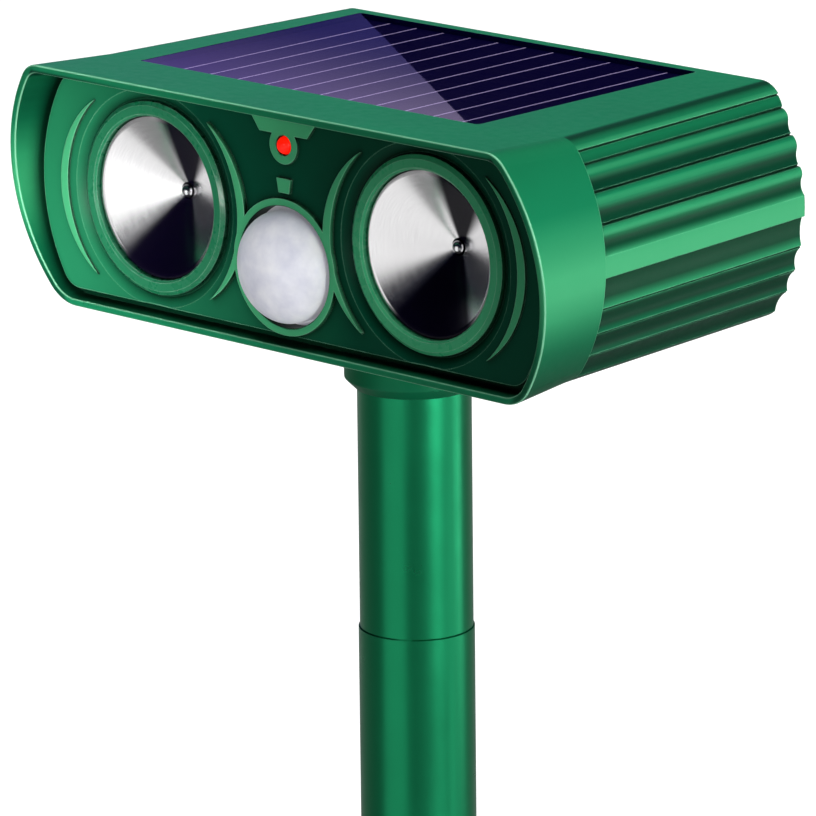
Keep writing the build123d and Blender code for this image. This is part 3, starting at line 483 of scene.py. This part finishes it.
CONE_X, CONE_Z = 0.0406, 0.2232
cone_mouth = -38.0 + 10.2 * (1.0 - 1.9 / 18.0)
for side, sx in (("left", -1), ("right", 1)):
    steps = 44
    prof = [(18.0, -38.0), (18.0, -33.4), (17.4, -33.4), (17.4, -37.25)]
    prof += [(1.9, cone_mouth + 0.6), (1.9, cone_mouth)]
    for k in range(1, steps):
        t = k / steps
        groove = 0.012 * math.sin(k * math.pi)
        prof.append((1.9 + (17.3 - 1.9) * t, cone_mouth + (-38.0 - cone_mouth) * t + groove))
    prof.append((17.3, -38.0))
    cone = lathe("spun_cone_" + side, prof, 160, (sx * CONE_X, 0.0, CONE_Z), cone_mat, "head")
    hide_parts("speaker_cone_" + side)

# ---------------------------------------------------------------- camera
back = Vector((0.663627224523852, -0.7015453398594313, 0.25967873034248246))
right = Vector((0.7283819828465582, 0.6850892638272664, -0.010601304312691896))
up = Vector((-0.17046581456492985, 0.19618062266729852, 0.9656368724083529))
cam_data = bpy.data.cameras.new("camera")
cam_data.lens = 267.9
cam_data.sensor_width = 36.0
cam_data.clip_start = 0.05
cam_data.clip_end = 60.0
cam = bpy.data.objects.new("camera", cam_data)
scene.collection.objects.link(cam)
cam.matrix_world = Matrix(((right.x, up.x, back.x, 0.88996), (right.y, up.y, back.y, -0.9429),
                           (right.z, up.z, back.z, 0.5236), (0, 0, 0, 1)))
scene.camera = cam

# ---------------------------------------------------------------- floor, world, lights
bm = bmesh.new()
bmesh.ops.create_circle(bm, cap_ends=True, radius=9.0, segments=96)
floor_mesh = bpy.data.meshes.new("floor")
bm.to_mesh(floor_mesh)
bm.free()
floor = bpy.data.objects.new("floor", floor_mesh)
floor.location = (0, 0, cad_lo.z - 0.0002)
scene.collection.objects.link(floor)
fm = Mat("floor_pale")
fn = fm.noise(6.0, 3.0, 0.5)
paper = fm.bsdf(Base_Color=fm.mix(fn, (0.17, 0.17, 0.17, 1), (0.18, 0.18, 0.18, 1)), Roughness=0.95, Specular_IOR_Level=0.05)
lift = fm.node("ShaderNodeEmission")
lift.inputs["Strength"].default_value = FLOOR_LIFT
both = fm.node("ShaderNodeAddShader")
fm.link(paper.outputs[0], both.inputs[0])
fm.link(lift.outputs[0], both.inputs[1])
seen = fm.node("ShaderNodeLightPath")
pick = fm.node("ShaderNodeMixShader")
fm.link(seen.outputs["Is Camera Ray"], pick.inputs[0])
fm.link(paper.outputs[0], pick.inputs[1])
fm.link(both.outputs[0], pick.inputs[2])
fm.link(pick.outputs[0], fm.out.inputs["Surface"])
floor.data.materials.append(fm.m)

world = bpy.data.worlds.new("studio")
scene.world = world
world.use_nodes = True
wt = world.node_tree
wt.nodes.clear()
wo = wt.nodes.new("ShaderNodeOutputWorld")
lp = wt.nodes.new("ShaderNodeLightPath")
b1 = wt.nodes.new("ShaderNodeBackground")
b1.inputs[0].default_value = (0.3, 0.35, 1.0, 1)
b1.inputs[1].default_value = WORLD_DIM
b2 = wt.nodes.new("ShaderNodeBackground")
b2.inputs[0].default_value = (1, 1, 1, 1)
b2.inputs[1].default_value = 1.0
wm = wt.nodes.new("ShaderNodeMixShader")
wt.links.new(lp.outputs["Is Camera Ray"], wm.inputs[0])
wt.links.new(b1.outputs[0], wm.inputs[1])
wt.links.new(b2.outputs[0], wm.inputs[2])
wt.links.new(wm.outputs[0], wo.inputs[0])


def softbox(name, loc, target, sx, sy, power, colour=(1, 1, 1), spread=math.pi):
    d = bpy.data.lights.new(name, "AREA")
    d.shape = "RECTANGLE"
    d.size, d.size_y = sx, sy
    d.energy = power
    d.color = colour
    d.spread = spread
    o = bpy.data.objects.new(name, d)
    o.location = loc
    o.rotation_mode = "QUATERNION"
    o.rotation_quaternion = (Vector(loc) - Vector(target)).to_track_quat("Z", "Y")
    scene.collection.objects.link(o)
    o.visible_camera = False
    return o


def sky_light(name, direction, energy, angle_deg):
    d = bpy.data.lights.new(name, "SUN")
    d.energy = energy
    d.angle = math.radians(angle_deg)
    o = bpy.data.objects.new(name, d)
    o.rotation_mode = "QUATERNION"
    o.rotation_quaternion = Vector(direction).to_track_quat("Z", "Y")
    scene.collection.objects.link(o)
    return o


def glare_card(mid, e, p, half, depth, strength):
    """A violet card that the panel's glass mirrors; its lower edge is the sharp line across the panel."""
    e = Vector(e).normalized()
    p = Vector(p)
    p = (p - e * p.dot(e)).normalized()
    n = e.cross(p)
    mesh = bpy.data.meshes.new("glare_card")
    mesh.from_pydata([(-half, 0, 0), (half, 0, 0), (half, depth, 0), (-half, depth, 0)], [], [(0, 1, 2, 3)])
    o = bpy.data.objects.new("glare_card", mesh)
    o.matrix_world = Matrix(((e.x, p.x, n.x, mid[0]), (e.y, p.y, n.y, mid[1]), (e.z, p.z, n.z, mid[2]), (0, 0, 0, 1)))
    scene.collection.objects.link(o)
    m = Mat("glare_card")
    across = m.span(m.axis("Y"), 0.0, 0.07, 1.0, 0.70)
    along = m.span(m.axis("X"), -0.035, 0.02, 1.15, 1.0)
    em = m.node("ShaderNodeEmission")
    m.link(m.mix(m.span(m.axis("Y"), 0.0, 0.07, 0.0, 1.0), (0.80, 0.66, 1.0, 1), (0.42, 0.30, 1.0, 1)), em.inputs[0])
    m.link(m.math("MULTIPLY", m.math("MULTIPLY", across, along), strength), em.inputs[1])
    m.link(em.outputs[0], m.out.inputs["Surface"])
    mesh.materials.append(m.m)
    o.visible_camera = False
    o.visible_diffuse = False
    o.visible_shadow = False


def spot(name, loc, target, power, cone_deg, blend, radius):
    d = bpy.data.lights.new(name, "SPOT")
    d.energy = power
    d.spot_size = math.radians(cone_deg)
    d.spot_blend = blend
    d.shadow_soft_size = radius
    o = bpy.data.objects.new(name, d)
    o.location = loc
    o.rotation_mode = "QUATERNION"
    o.rotation_quaternion = (Vector(loc) - Vector(target)).to_track_quat("Z", "Y")
    scene.collection.objects.link(o)
    return o


def white_card(name, corners, strength, fade=None):
    """A white board that only shiny surfaces see."""
    mesh = bpy.data.meshes.new(name)
    mesh.from_pydata(corners, [], [tuple(range(len(corners)))])
    o = bpy.data.objects.new(name, mesh)
    scene.collection.objects.link(o)
    m = Mat(name)
    em = m.node("ShaderNodeEmission")
    if fade:
        m.link(m.span(m.axis("Z"), fade[0], fade[1], strength, strength * 0.1), em.inputs[1])
    else:
        em.inputs[1].default_value = strength
    m.link(em.outputs[0], m.out.inputs["Surface"])
    mesh.materials.append(m.m)
    o.visible_camera = False
    o.visible_diffuse = False
    o.visible_shadow = False


def on_floor(points):
    """Corners on the floor from (bearing in degrees, distance) round the pole."""
    return [(d * math.cos(math.radians(a)), d * math.sin(math.radians(a)), cad_lo.z + 0.001) for a, d in points]


HEAD = (0.0, 0.0, 0.2)
sky_light("sky", (0.10, 0.06, 1.0), 3.3, 60)
softbox("key_right", (1.5, -0.12, 0.25), HEAD, 0.5, 0.3, 20)
for fill in (softbox("rear_fill", (-0.9, 1.7, 0.40), HEAD, 0.9, 0.7, 17), softbox("left_fill", (-1.6, 0.25, 0.35), HEAD, 0.5, 0.5, 7),
             softbox("low_front", (0.35, -1.6, -0.05), HEAD, 0.6, 0.15, 3.5)):
    fill.visible_glossy = False
spot("fascia_light", (0.60, -1.36, 0.21), (-0.074, -0.04, 0.207), 165, 5.0, 1.0, 0.05)
white_card("front_card", [(-0.9, -2.2, -0.15), (1.0, -2.2, -0.15), (1.0, -2.2, 0.95), (-0.9, -2.2, 0.95)], 0.94, (0.55, 0.85))
white_card("front_board", on_floor([(-68, 0.28), (-68, 2.3), (-112, 2.3), (-128, 0.28)]), 0.94)
white_card("side_board", on_floor([(20, 0.35), (34, 0.35), (34, 1.7), (20, 1.7)]), 1.35)
white_card("rear_board", on_floor([(38, 0.9), (56, 0.9), (56, 2.4), (38, 2.4)]), 4.0)
glare_card((-0.8070, 0.8566, 0.4951), (0.0403, 0.0214, 0.0446), (-0.7, -0.6, 0.6), 0.5, 0.6, 0.62)

scene.view_settings.view_transform = "Standard"
scene.view_settings.look = "None"
scene.view_settings.exposure = 0.0
scene.view_settings.gamma = 1.0
